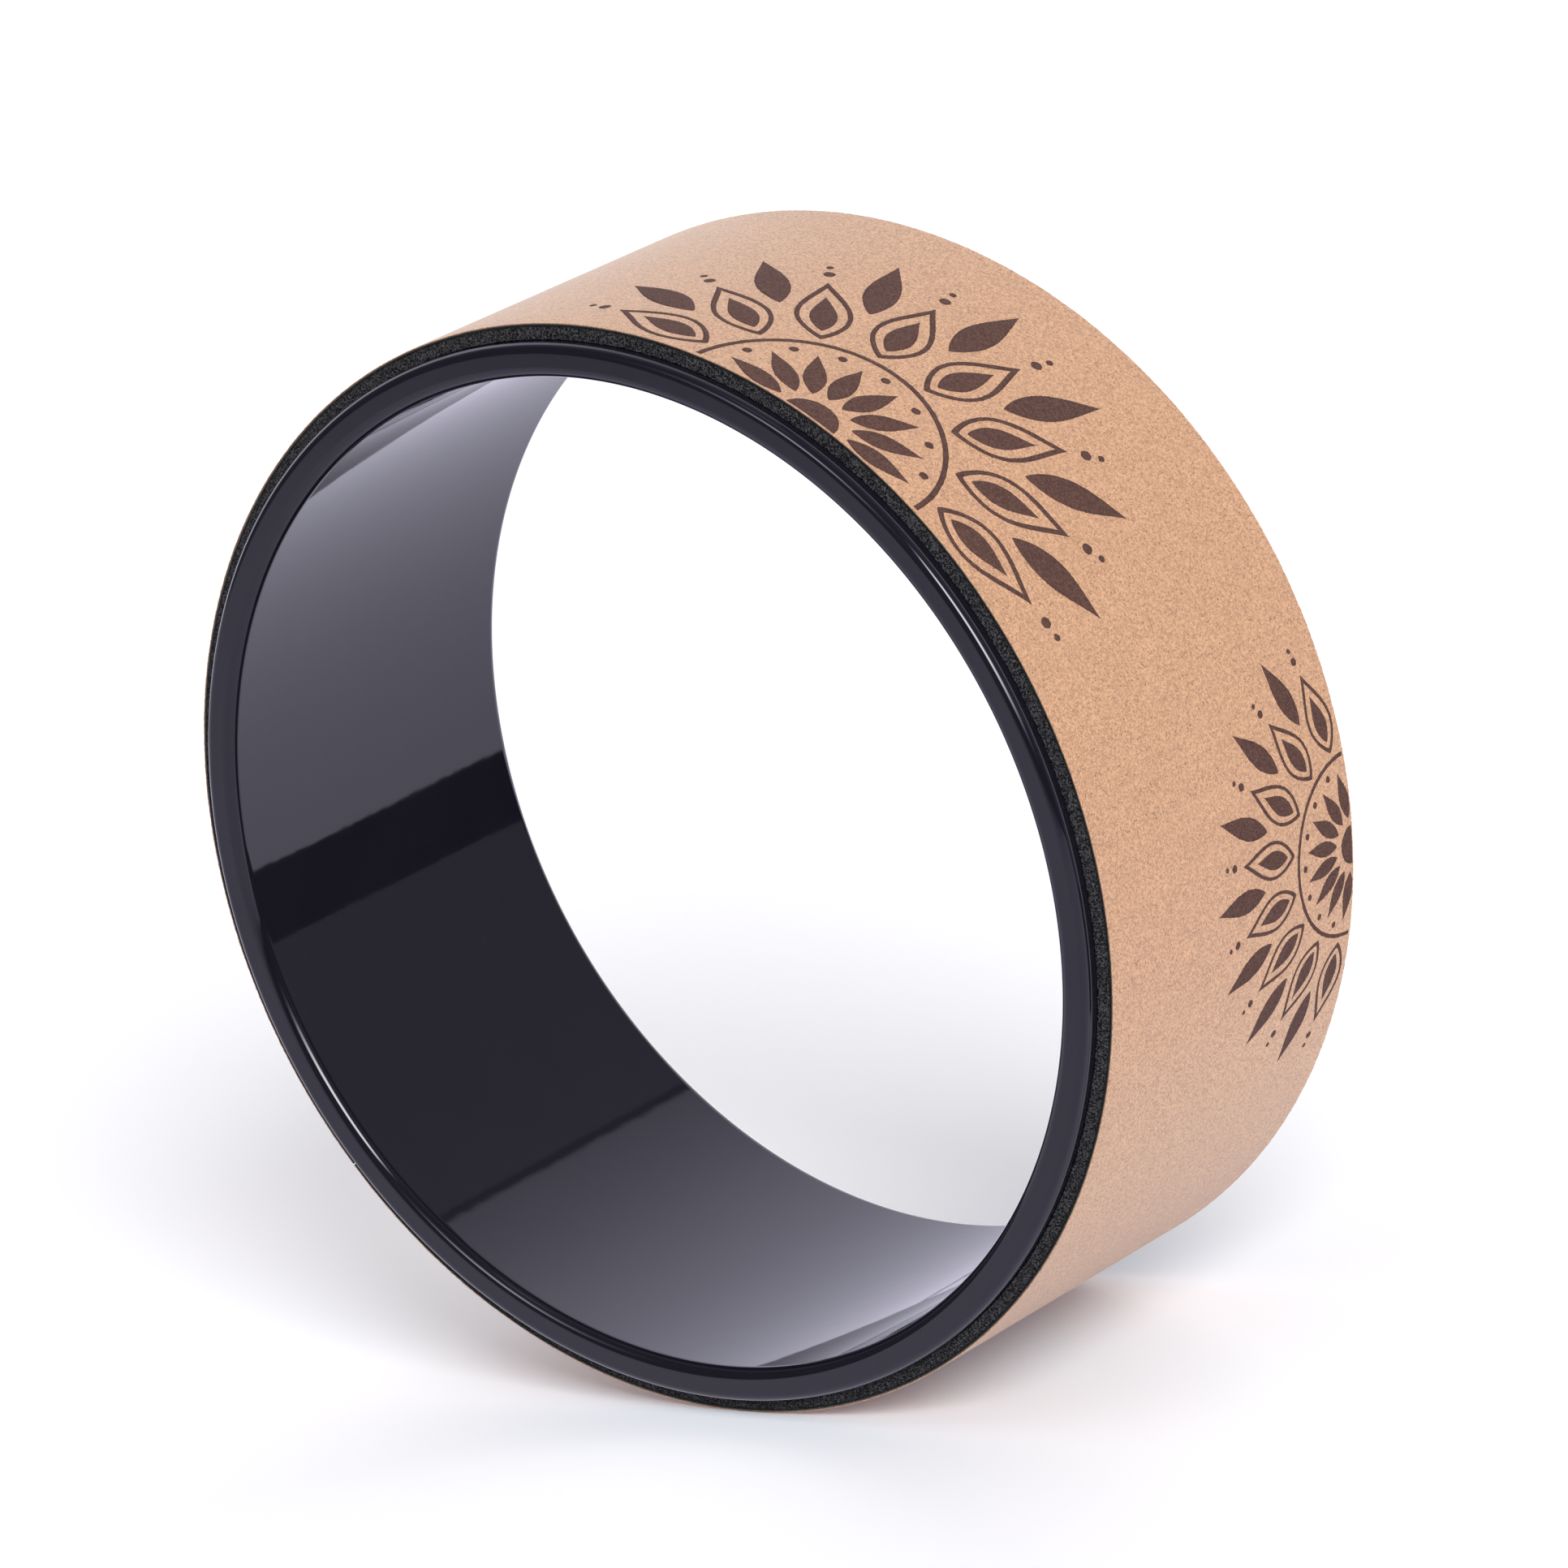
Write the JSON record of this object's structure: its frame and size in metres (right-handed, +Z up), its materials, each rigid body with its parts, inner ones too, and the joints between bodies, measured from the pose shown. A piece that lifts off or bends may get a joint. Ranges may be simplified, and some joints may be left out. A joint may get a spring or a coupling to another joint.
{
  "type": "yoga wheel",
  "caption": "Rigid moulded hoop with a cushioned, cork-faced tread, used standing on its tread for stretching, back bends and balance exercises.",
  "frame": {"origin": "centre of the wheel, on the axle line, half way between the two end faces", "axes": "+Y along the axle line, +Z up with the wheel standing on its tread, +X the way it rolls"},
  "size_m": [0.33, 0.126, 0.33],
  "materials": {
    "hoop_plastic": "polished black moulded plastic",
    "adhesive": "thin dark adhesive layer, all but hidden",
    "foam": "matt black open-pored foam",
    "cork": "fine agglomerated cork with a dark brown print"
  },
  "bodies": {
    "root": {"hoop": "hoop_plastic", "mounting_tape": "adhesive", "foam_strip": "foam", "laminating_film": "adhesive", "cork_sheet": "cork"}
  },
  "joints": []
}
